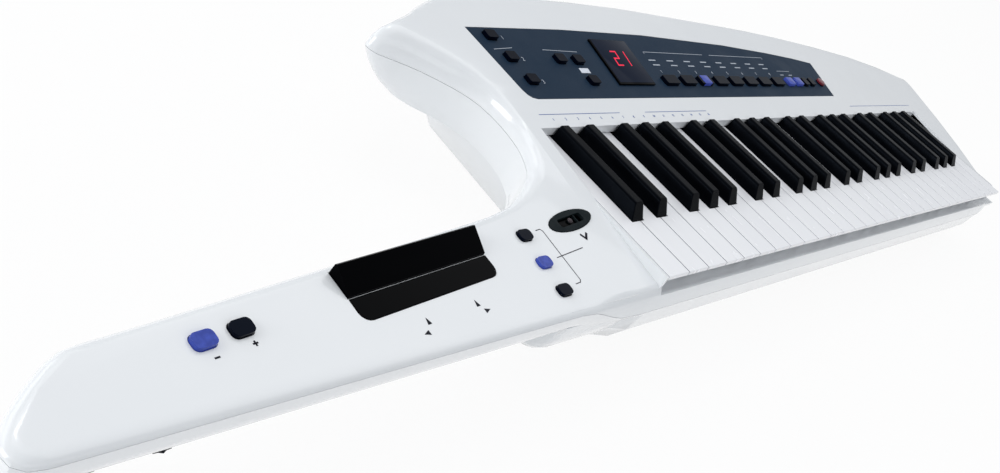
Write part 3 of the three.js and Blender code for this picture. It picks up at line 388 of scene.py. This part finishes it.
def new_piece(name, shape, material, body, place, smooth=True):
    """Makes a piece that rides on a body from a bmesh in millimetres, set at a place."""
    mesh = finished_mesh(name, shape, material)
    mesh.transform(KEYBOARD_PLACE @ place)
    if smooth:
        smooth_mesh(mesh)
    piece = linked_object(mesh)
    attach(piece, body)


def dress_node(node, material, edge=0.0, segments=2, even=False):
    """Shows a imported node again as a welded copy.

    An edge in millimetres softens its edges. Even shading keeps a large shell free of streaks.
    """
    packed = frame["nodes"][node]
    shape = bmesh.new()
    shape.from_mesh(packed.data)
    bmesh.ops.remove_doubles(shape, verts=shape.verts, dist=WELD_DISTANCE)
    bmesh.ops.dissolve_degenerate(shape, edges=shape.edges, dist=WELD_DISTANCE)
    if edge:
        bmesh.ops.dissolve_limit(
            shape, angle_limit=FLAT_ANGLE, verts=shape.verts, edges=shape.edges)
    mesh = finished_mesh(node + "_finished", shape, material)
    old_shading = mesh.attributes.get("custom_normal")
    if old_shading:
        mesh.attributes.remove(old_shading)
    smooth_mesh(mesh)
    piece = linked_object(mesh)
    if edge:
        rounding = piece.modifiers.new("edge_rounding", "BEVEL")
        rounding.width = edge * MM
        rounding.segments = segments
        rounding.limit_method = "ANGLE"
        rounding.angle_limit = ROUNDED_ANGLE
        rounding.use_clamp_overlap = True
        rounding.harden_normals = True
    if even:
        evening = piece.modifiers.new("even_flats", "WEIGHTED_NORMAL")
        evening.mode = "FACE_AREA"
        evening.weight = EVENING_WEIGHT
        evening.keep_sharp = True
    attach(piece, packed["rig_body"])
    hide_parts(node)


def dress_white_key(node):
    dress_node(node, KEY_WHITE, edge=0.5, segments=3)


def dress_black_key(node):
    dress_node(node, KEY_BLACK, edge=0.7, segments=3)


for name in [n for n in frame["nodes"] if n.startswith("key_") and n != "key_frame"]:
    # Black keys have an s for sharp in their names, as in key_cs1
    if "s" in name:
        dress_black_key(name)
    else:
        dress_white_key(name)
dress_white_key("white_comb_c_e_g_b_c")
dress_white_key("white_comb_d_f_a")
dress_black_key("black_comb")
dress_node("upper_case", CASE_WHITE, even=True)
dress_node("lower_case", CASE_WHITE, even=True)
dress_node("control_panel", SLATE, edge=0.25)
dress_node("display_window", POLISHED_BLACK, edge=0.15)
dress_node("panel_buttons", NAVY, edge=0.6, segments=3)
dress_node("modulation_bar", POLISHED_BLACK, edge=0.6, segments=3)
dress_node("touch_pad", POLISHED_BLACK, edge=0.15)
dress_node("octave_up_button", NAVY, edge=1.2, segments=4)
dress_node("octave_down_button", LIT_BLUE, edge=1.2, segments=4)
dress_node("pitch_button", NAVY, edge=1.1, segments=4)
dress_node("assign_button", NAVY, edge=1.1, segments=4)
dress_node("filter_button", LIT_BLUE, edge=1.1, segments=4)
dress_node("beam_sensor", HOUSING, edge=0.35, segments=3)
dress_node("volume_knob", NAVY, edge=0.4)
dress_node("aftertouch_knob", NAVY, edge=0.4)
dress_node("strap_pin_horn", STEEL, edge=0.4)
dress_node("strap_pin_tail", STEEL, edge=0.4)
dress_node("battery_lid", CASE_WHITE, edge=0.3)
dress_node("jack_plate", PLATE, edge=0.3)
dress_node("key_frame", ALUMINIUM, edge=0.3)
dress_node("main_board", BOARD, edge=0.2)


# Shapes shared by the small parts
EDGE_STEPS = 3
CORNER_STEPS = 6
ROUND_STEPS = 32
RIM_TOLERANCE = 1e-4
STROKE_HEIGHT = 0.1


def along_deck(x, y, lift=0.0):
    """A place on the deck whose y is measured along its slope."""
    return DECK_PLACE @ Matrix.Translation((x, y, lift))


def on_deck(x, y, turn=0.0, lift=0.0):
    """A place on the deck whose y is measured level, as seen from above."""
    return along_deck(x, y * DECK_STRETCH, lift) @ Matrix.Rotation(math.radians(turn), 4, "Z")


def add_stroke(shape, start, end, width):
    """One thin bar of print or light from a start to an end."""
    run = Vector(end) - Vector(start)
    middle = (Vector(start) + Vector(end)) / 2
    bar = bmesh.ops.create_cube(shape, size=1)["verts"]
    place = (Matrix.Translation((middle.x, middle.y, STROKE_HEIGHT / 2))
             @ Matrix.Rotation(math.atan2(run.y, run.x), 4, "Z")
             @ Matrix.Diagonal((run.length + width, width, STROKE_HEIGHT, 1)))
    bmesh.ops.transform(shape, matrix=place, verts=bar)


def add_path(shape, points, width):
    for start, end in zip(points, points[1:]):
        add_stroke(shape, start, end, width)


def add_arrowhead(shape, x, y, turn, length, width):
    """A flat triangle that points along its turn."""
    head = bmesh.ops.create_cone(
        shape, cap_ends=True, segments=3, radius1=1, radius2=1, depth=STROKE_HEIGHT)["verts"]
    # A triangle in a circle of radius 1 is 1.5 long and the root of 3 wide
    place = (Matrix.Translation((x, y, STROKE_HEIGHT / 2))
             @ Matrix.Rotation(math.radians(turn), 4, "Z")
             @ Matrix.Diagonal((length / 1.5, width / math.sqrt(3), 1, 1))
             @ Matrix.Rotation(math.radians(-90), 4, "Z"))
    bmesh.ops.transform(shape, matrix=place, verts=head)


def add_number(shape, number, x, y, size):
    """A plain number, centred on x and y."""
    writing = bpy.data.curves.new("number", "FONT")
    writing.body = str(number)
    writing.size = size
    writing.extrude = STROKE_HEIGHT / 2
    writing.align_x = "CENTER"
    writing.align_y = "CENTER"
    written = bpy.data.objects.new("number", writing)
    mesh = bpy.data.meshes.new_from_object(written)
    mesh.transform(Matrix.Translation((x, y, STROKE_HEIGHT / 2)))
    shape.from_mesh(mesh)
    bpy.data.objects.remove(written)
    bpy.data.curves.remove(writing)
    bpy.data.meshes.remove(mesh)


def soften(shape, edges, width, steps):
    bmesh.ops.bevel(shape, geom=edges, offset=width, offset_type="OFFSET", segments=steps,
                    profile=0.5, affect="EDGES", material=-1)


def soften_rim(shape, height, width):
    """Softens the edges that lie at a height."""
    lowest = height - RIM_TOLERANCE
    rim = [e for e in shape.edges if all(v.co.z > lowest for v in e.verts)]
    soften(shape, rim, width, EDGE_STEPS)


def rounded_block(length, depth, height, corner, edge):
    """A block that stands on z = 0, its corners rounded and its top edge softened."""
    shape = bmesh.new()
    bmesh.ops.create_cube(shape, size=1)
    bmesh.ops.scale(shape, vec=(length, depth, height), verts=shape.verts)
    bmesh.ops.translate(shape, vec=(0, 0, height / 2), verts=shape.verts)
    uprights = [e for e in shape.edges if abs(e.verts[0].co.z - e.verts[1].co.z) > height / 2]
    soften(shape, uprights, corner, CORNER_STEPS)
    soften_rim(shape, height, edge)
    return shape


def turned_button(radius, height, edge):
    """A round button that stands on z = 0 with a softened top edge."""
    shape = bmesh.new()
    bmesh.ops.create_cone(shape, cap_ends=True, segments=ROUND_STEPS,
                          radius1=radius, radius2=radius, depth=height)
    bmesh.ops.translate(shape, vec=(0, 0, height / 2), verts=shape.verts)
    soften_rim(shape, height, edge)
    return shape


def leaning_block(left, right, front, rear, lean, low, high, edge):
    """A block seen as a parallelogram from above, with softened edges."""
    shape = bmesh.new()
    bmesh.ops.create_cube(shape, size=1)
    bmesh.ops.scale(shape, vec=(right - left, rear - front, high - low), verts=shape.verts)
    for corner in shape.verts:
        corner.co.x += lean * (corner.co.y / (rear - front) + 0.5)
    middle = ((left + right) / 2, (front + rear) / 2, (low + high) / 2)
    bmesh.ops.translate(shape, vec=middle, verts=shape.verts)
    soften(shape, shape.edges[:], edge, EDGE_STEPS)
    return shape


def lens_dome(radius, rise):
    """The upper half of a ball, flattened to its rise."""
    shape = bmesh.new()
    bmesh.ops.create_uvsphere(shape, u_segments=28, v_segments=14, radius=radius)
    everything = shape.verts[:] + shape.edges[:] + shape.faces[:]
    bmesh.ops.bisect_plane(
        shape, geom=everything, plane_co=(0, 0, 0), plane_no=(0, 0, -1), clear_outer=True)
    rim = [e for e in shape.edges if e.is_boundary]
    bmesh.ops.holes_fill(shape, edges=rim)
    bmesh.ops.scale(shape, vec=(1, 1, rise / radius), verts=shape.verts)
    return shape


# Display: raised black frame, smoked window and lit digits
DISPLAY_TOP, DISPLAY_LEAN = 1.5, 6
DISPLAY_FRONT_Y, DISPLAY_REAR_EDGE = 161.5, 1.6
DISPLAY_FRONT = DISPLAY_FRONT_Y * DECK_STRETCH
window_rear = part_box("display_window")[1].y
DISPLAY_REAR = (window_rear - KEY_CORNER.y) / MM * DECK_STRETCH - DISPLAY_REAR_EDGE
FRAME_OVERLAP, FRAME_LIFT = 0.4, 0.02
GLASS_FRONT_INSET, GLASS_REAR_INSET, GLASS_SUNK, GLASS_RISE = 1.4, 0.2, 0.3, 0.12
DIGITS_X, DIGITS_Y, DIGITS_RISE = 151.5, 187.5, 0.14
DIGIT_SIDE, DIGIT_TOP, ONE_X = 3.2, 7.2, 14.6
TWO_BREAK, ONE_BREAK = 0.3, 0.4
DIGIT_SLANT = 0.24
TWO_WIDTH = 1.3
ONE_WIDTH = TWO_WIDTH * 0.8


def lit_digits():
    """The number 21 in lit bars, slanted to the right."""
    shape = bmesh.new()
    add_path(shape, [(-DIGIT_SIDE, DIGIT_TOP), (DIGIT_SIDE, DIGIT_TOP), (DIGIT_SIDE, TWO_BREAK)],
             TWO_WIDTH)
    add_path(shape, [(DIGIT_SIDE, 0), (-DIGIT_SIDE, 0), (-DIGIT_SIDE, -DIGIT_TOP),
                     (DIGIT_SIDE, -DIGIT_TOP)], TWO_WIDTH)
    add_stroke(shape, (ONE_X, DIGIT_TOP), (ONE_X, ONE_BREAK), ONE_WIDTH)
    add_stroke(shape, (ONE_X, -ONE_BREAK), (ONE_X, -DIGIT_TOP), ONE_WIDTH)
    for point in shape.verts:
        point.co.x += DIGIT_SLANT * point.co.y
    return shape


frame_block = leaning_block(
    left=128.6, right=177.4, front=DISPLAY_FRONT - FRAME_OVERLAP,
    rear=DISPLAY_REAR + FRAME_OVERLAP, lean=DISPLAY_LEAN, low=FRAME_LIFT, high=DISPLAY_TOP,
    edge=0.3)
new_piece("display_frame", frame_block, POLISHED_BLACK, "case", DECK_PLACE)

glass_block = leaning_block(
    left=130.4, right=176.8, front=DISPLAY_FRONT + GLASS_FRONT_INSET,
    rear=DISPLAY_REAR - GLASS_REAR_INSET, lean=DISPLAY_LEAN, low=DISPLAY_TOP - GLASS_SUNK,
    high=DISPLAY_TOP + GLASS_RISE, edge=0.1)
new_piece("display_glass", glass_block, SMOKED, "case", DECK_PLACE)

new_piece("display_digits", lit_digits(), RED_GLOW, "case",
          on_deck(DIGITS_X, DIGITS_Y, lift=DISPLAY_TOP + DIGITS_RISE), smooth=False)


# Sensor: black floor of its recess, the lens and the slat beside it
SENSOR_X, SENSOR_Y, SENSOR_TURN = -38.6, 54.4, 7.3
RECESS_LENGTH, RECESS_WIDTH, RECESS_FLOOR = 24.2, 5.2, -1.8
FLOOR_SUNK, LENS_SUNK, SLAT_X = 0.2, 0.3, 5.9


def in_sensor(x, lift):
    """A place in the sensor's recess, x along its length."""
    return on_deck(SENSOR_X, SENSOR_Y, SENSOR_TURN, lift) @ Matrix.Translation((x, 0, 0))


floor_block = rounded_block(RECESS_LENGTH, RECESS_WIDTH, height=0.9, corner=1.4, edge=0.2)
new_piece("sensor_floor", floor_block, POLISHED_BLACK, "case",
          in_sensor(0, RECESS_FLOOR - FLOOR_SUNK))
new_piece("sensor_lens", lens_dome(radius=1.9, rise=1.2), LENS, "case",
          in_sensor(0, -LENS_SUNK))
slat_block = rounded_block(0.8, RECESS_WIDTH, height=2.0, corner=0.2, edge=0.15)
new_piece("sensor_slat", slat_block, HOUSING, "case",
          in_sensor(SLAT_X, RECESS_FLOOR))


# Lit caps over the moulded web of panel buttons
PANEL_LEFT, PANEL_WIDTH, PANEL_FRONT = 1, 514, 148.5
CAP_ROW_SETBACK = 17.5
CAP_ROW_Y = PANEL_FRONT * DECK_STRETCH + CAP_ROW_SETBACK
TONE_COUNT, TONE_FIRST_X, TONE_PITCH = 8, 205, 27.4
TONE_X = [TONE_FIRST_X + TONE_PITCH * i for i in range(TONE_COUNT)]
LIT_TONE = 2
LIT_SHARES, ROUND_SHARE = (0.82, 0.855), 0.957
LIT_X = [PANEL_LEFT + share * PANEL_WIDTH for share in LIT_SHARES]
ROUND_X = PANEL_LEFT + ROUND_SHARE * PANEL_WIDTH
CAP_DEPTH, CAP_HEIGHT, CAP_CORNER, CAP_LIFT = 9.3, 3.0, 1.3, 0.1
ROUND_CAP_LIFT = 1.0


def add_lit_cap(name, x, length, edge):
    cap = rounded_block(length, CAP_DEPTH, CAP_HEIGHT, CAP_CORNER, edge)
    new_piece(name, cap, LIT_BLUE, "panel_buttons",
              along_deck(x, CAP_ROW_Y, CAP_LIFT))


add_lit_cap("lit_tone_cap", TONE_X[LIT_TONE], length=12.5, edge=0.6)
for side, x in zip(("left", "right"), LIT_X):
    add_lit_cap("lit_cap_" + side, x, length=12.3, edge=0.8)
new_piece("lit_round_cap", turned_button(radius=4.65, height=2.1, edge=0.7), LIT_RED,
          "panel_buttons", along_deck(ROUND_X, CAP_ROW_Y, ROUND_CAP_LIFT))


# Prints on the case and the panel
PRINT_LIFT = 0.02
FINE_LINE, SCALE_LINE, SIGN_LINE, BEAM_LINE = 0.45, 0.4, 0.8, 1.6
TONE_BAR_LINE, LIT_BAR_LINE = 1.1, 0.9
SIGN_TURN, SIGN_ARM = 5.6, 0.9
MINUS_PLACE, PLUS_PLACE = (-300, 19.3), (-280.9, 21.7)
ARROW_LENGTH, ARROW_WIDTH = 3.8, 2.7
NECK_ARROWS = ((-189.1, 13.1, 96), (-152.6, 16.3, 96), (-193.5, 7.8, 185.6), (-149.0, 11.9, 5.6))
BRACKET = ((-73.7, 51.8), (-69.8, 52.2), (-68.4, 50.8), (-66.9, 16.4), (-68.2, 15.0), (-72.6, 14.6))
BRACKET_BRANCH = ((-72.3, 32.6), (-45.6, 35.7))
BEAM_SIGN = ((-38.6, 43.9), (-36.4, 41.0), (-33.2, 44.3))
LEFT_SCALE_LINES = (((8, 136.2), (100, 135.8)), ((134, 135.7), (222.6, 135.2)))
RIGHT_SCALE_LINE = ((517, 135.6), (683, 134.2))
STEP_COUNT, STEP_X, STEP_PITCH, STEP_Y, STEP_SIZE = 16, 19, 13.57, 131.6, 2.9
TONE_BRACKETS = (((201.7, 197.2), (201.7, 199), (296, 199)),
                 ((309, 199), (409.5, 199), (409.5, 197.2)))
TONE_BAR_ARM, TONE_BAR_Y, TONE_BAR_PITCH, TONE_BAR_SHIFT = 4.5, 190, 5.2, 1
TONE_NUMBER_Y, TONE_NUMBER_SIZE = 177.5, 4.2
MENU_NUMBERS = ((32.5, 206), (37, 186), (40, 165))
MENU_NUMBER_SIZE = 5
MENU_LINES = (((68, 196), (108, 195.4)), ((14, 194.5), (34, 196.5)))
LIT_BAR_ARM, LIT_BAR_Y = 3, 177
LIT_LINE_ARM, LIT_LINE_Y = 4, 182
LABEL_Y = 175.3


def add_print(name, shape, ink):
    new_piece(name, shape, ink, "case", on_deck(0, 0, lift=PRINT_LIFT), smooth=False)


def neck_print():
    """Signs of the octave buttons, arrows of the bar and pad, and the small buttons' bracket."""
    shape = bmesh.new()
    turn = math.radians(SIGN_TURN)
    along = Vector((math.cos(turn), math.sin(turn))) * SIGN_ARM
    across = along.orthogonal()
    minus, plus = Vector(MINUS_PLACE), Vector(PLUS_PLACE)
    for middle, arm in ((minus, along), (plus, along), (plus, across)):
        add_stroke(shape, middle - arm, middle + arm, SIGN_LINE)
    for x, y, turn in NECK_ARROWS:
        add_arrowhead(shape, x, y, turn, ARROW_LENGTH, ARROW_WIDTH)
    add_path(shape, BRACKET, FINE_LINE)
    add_stroke(shape, *BRACKET_BRANCH, FINE_LINE)
    add_path(shape, BEAM_SIGN, BEAM_LINE)
    return shape


def scale_print():
    """Lines along the rear of the keys, and the numbers of the steps."""
    shape = bmesh.new()
    for line in LEFT_SCALE_LINES:
        add_stroke(shape, *line, SCALE_LINE)
    for step in range(STEP_COUNT):
        add_number(shape, step + 1, STEP_X + STEP_PITCH * step, STEP_Y, STEP_SIZE)
    add_stroke(shape, *RIGHT_SCALE_LINE, SCALE_LINE)
    return shape


def panel_print():
    """Brackets, bars and numbers of the tone buttons, and the menu buttons' numbers and lines."""
    shape = bmesh.new()
    for bracket in TONE_BRACKETS:
        add_path(shape, bracket, FINE_LINE)
    for x in TONE_X:
        for row in (0, 1):
            middle, y = x + TONE_BAR_SHIFT * row, TONE_BAR_Y - TONE_BAR_PITCH * row
            add_stroke(shape, (middle - TONE_BAR_ARM, y), (middle + TONE_BAR_ARM, y), TONE_BAR_LINE)
    for number, x in enumerate(TONE_X, 1):
        add_number(shape, number, x, TONE_NUMBER_Y, TONE_NUMBER_SIZE)
    for number, (x, y) in enumerate(MENU_NUMBERS, 1):
        add_number(shape, number, x, y, MENU_NUMBER_SIZE)
    for line in MENU_LINES:
        add_stroke(shape, *line, FINE_LINE)
    for x in LIT_X:
        add_stroke(shape, (x - LIT_BAR_ARM, LIT_BAR_Y), (x + LIT_BAR_ARM, LIT_BAR_Y), LIT_BAR_LINE)
    first_x, last_x = LIT_X
    add_stroke(shape, (first_x - LIT_LINE_ARM, LIT_LINE_Y), (last_x + LIT_LINE_ARM, LIT_LINE_Y),
               FINE_LINE)
    return shape


add_print("neck_print", neck_print(), NAVY_INK)
add_print("scale_print", scale_print(), BLUE_INK)
add_print("panel_print", panel_print(), PALE_INK)

label_block = leaning_block(
    left=93.2, right=104.4, front=-2.4, rear=2.4, lean=0.7, low=0.0, high=0.12, edge=0.04)
new_piece("panel_label", label_block, LABEL_WHITE, "case",
          on_deck(0, LABEL_Y, lift=PRINT_LIFT))


# Studio: pale floor, pale surround and soft lamps
FLOOR_SIZE = 14
FLOOR_GREY = 0.9
FLOOR_GLOW = 0.92
SURROUND_TINT = (0.93, 0.96, 1.0, 1)
SURROUND_STRENGTH = 0.55
COOL_WHITE = (0.97, 0.98, 1)


def pale_studio_floor():
    """Near-white floor that the camera sees as white, but for the shadow."""
    material = new_finish("pale_studio_floor", (FLOOR_GREY,) * 3, 0.6)
    vary_colour(material, (0.89,) * 3, (0.91,) * 3, scale=2)
    nodes, links = material.node_tree.nodes, material.node_tree.links
    path = nodes.new("ShaderNodeLightPath")
    seen = nodes.new("ShaderNodeMath")
    seen.operation = "MAXIMUM"
    links.new(path.outputs["Is Camera Ray"], seen.inputs[0])
    links.new(path.outputs["Is Glossy Ray"], seen.inputs[1])
    share = nodes.new("ShaderNodeMath")
    share.operation = "MULTIPLY"
    share.inputs[1].default_value = FLOOR_GLOW
    links.new(seen.outputs["Value"], share.inputs[0])
    white = nodes.new("ShaderNodeEmission")
    white.inputs["Color"].default_value = (1, 1, 1, 1)
    mix = nodes.new("ShaderNodeMixShader")
    links.new(share.outputs["Value"], mix.inputs["Fac"])
    links.new(shader_of(material).outputs["BSDF"], mix.inputs[1])
    links.new(white.outputs["Emission"], mix.inputs[2])
    links.new(mix.outputs["Shader"], nodes["Material Output"].inputs["Surface"])
    return material


def pale_surround():
    """A pale world that lights the object softly and is plain white to the camera."""
    world = bpy.data.worlds.new("pale_surround")
    world.use_nodes = True
    nodes, links = world.node_tree.nodes, world.node_tree.links
    surround = nodes["Background"]
    surround.inputs["Color"].default_value = SURROUND_TINT
    surround.inputs["Strength"].default_value = SURROUND_STRENGTH
    seen = nodes.new("ShaderNodeBackground")
    seen.inputs["Strength"].default_value = 1.0
    path = nodes.new("ShaderNodeLightPath")
    mix = nodes.new("ShaderNodeMixShader")
    links.new(path.outputs["Is Camera Ray"], mix.inputs["Fac"])
    links.new(surround.outputs["Background"], mix.inputs[1])
    links.new(seen.outputs["Background"], mix.inputs[2])
    links.new(mix.outputs["Shader"], nodes["World Output"].inputs["Surface"])
    return world


def soft_lamp(name, place, target, size, power, colour=(1, 1, 1)):
    """A rectangular area lamp at a place, aimed at a target."""
    data = bpy.data.lights.new(name, "AREA")
    data.shape = "RECTANGLE"
    data.size, data.size_y = size
    data.energy = power
    data.color = colour
    lamp = bpy.data.objects.new(name, data)
    lamp.location = place
    aim = Vector(target) - Vector(place)
    lamp.rotation_euler = aim.to_track_quat("-Z", "Y").to_euler()
    bpy.context.scene.collection.objects.link(lamp)


floor_shape = bmesh.new()
bmesh.ops.create_grid(floor_shape, x_segments=8, y_segments=8, size=FLOOR_SIZE)
studio_floor = linked_object(finished_mesh("studio_floor", floor_shape, pale_studio_floor()))

bpy.context.scene.world = pale_surround()

soft_lamp("overhead_softbox", (0.8, 0.6, 2.1), (0.2, 0, 0), size=(3.2, 2.4), power=18.6)
soft_lamp("horn_glint", (-0.15, 1.0, 2.0), (-0.2, 0.0, 0.05), size=(0.5, 0.3), power=2.5)
soft_lamp("front_softbox", (-0.2, -1.8, 0.9), (0, 0, 0.05), size=(2.4, 0.8), power=3.8,
          colour=COOL_WHITE)
soft_lamp("horn_softbox", (-2.3, 0.45, 0.6), (-0.2, 0.02, 0.02), size=(1.0, 0.8), power=16)
soft_lamp("rear_softbox", (-0.9, 1.7, 0.9), (0, 0, 0.05), size=(2.0, 0.8), power=6,
          colour=COOL_WHITE)

bpy.context.scene.view_settings.view_transform = "Standard"
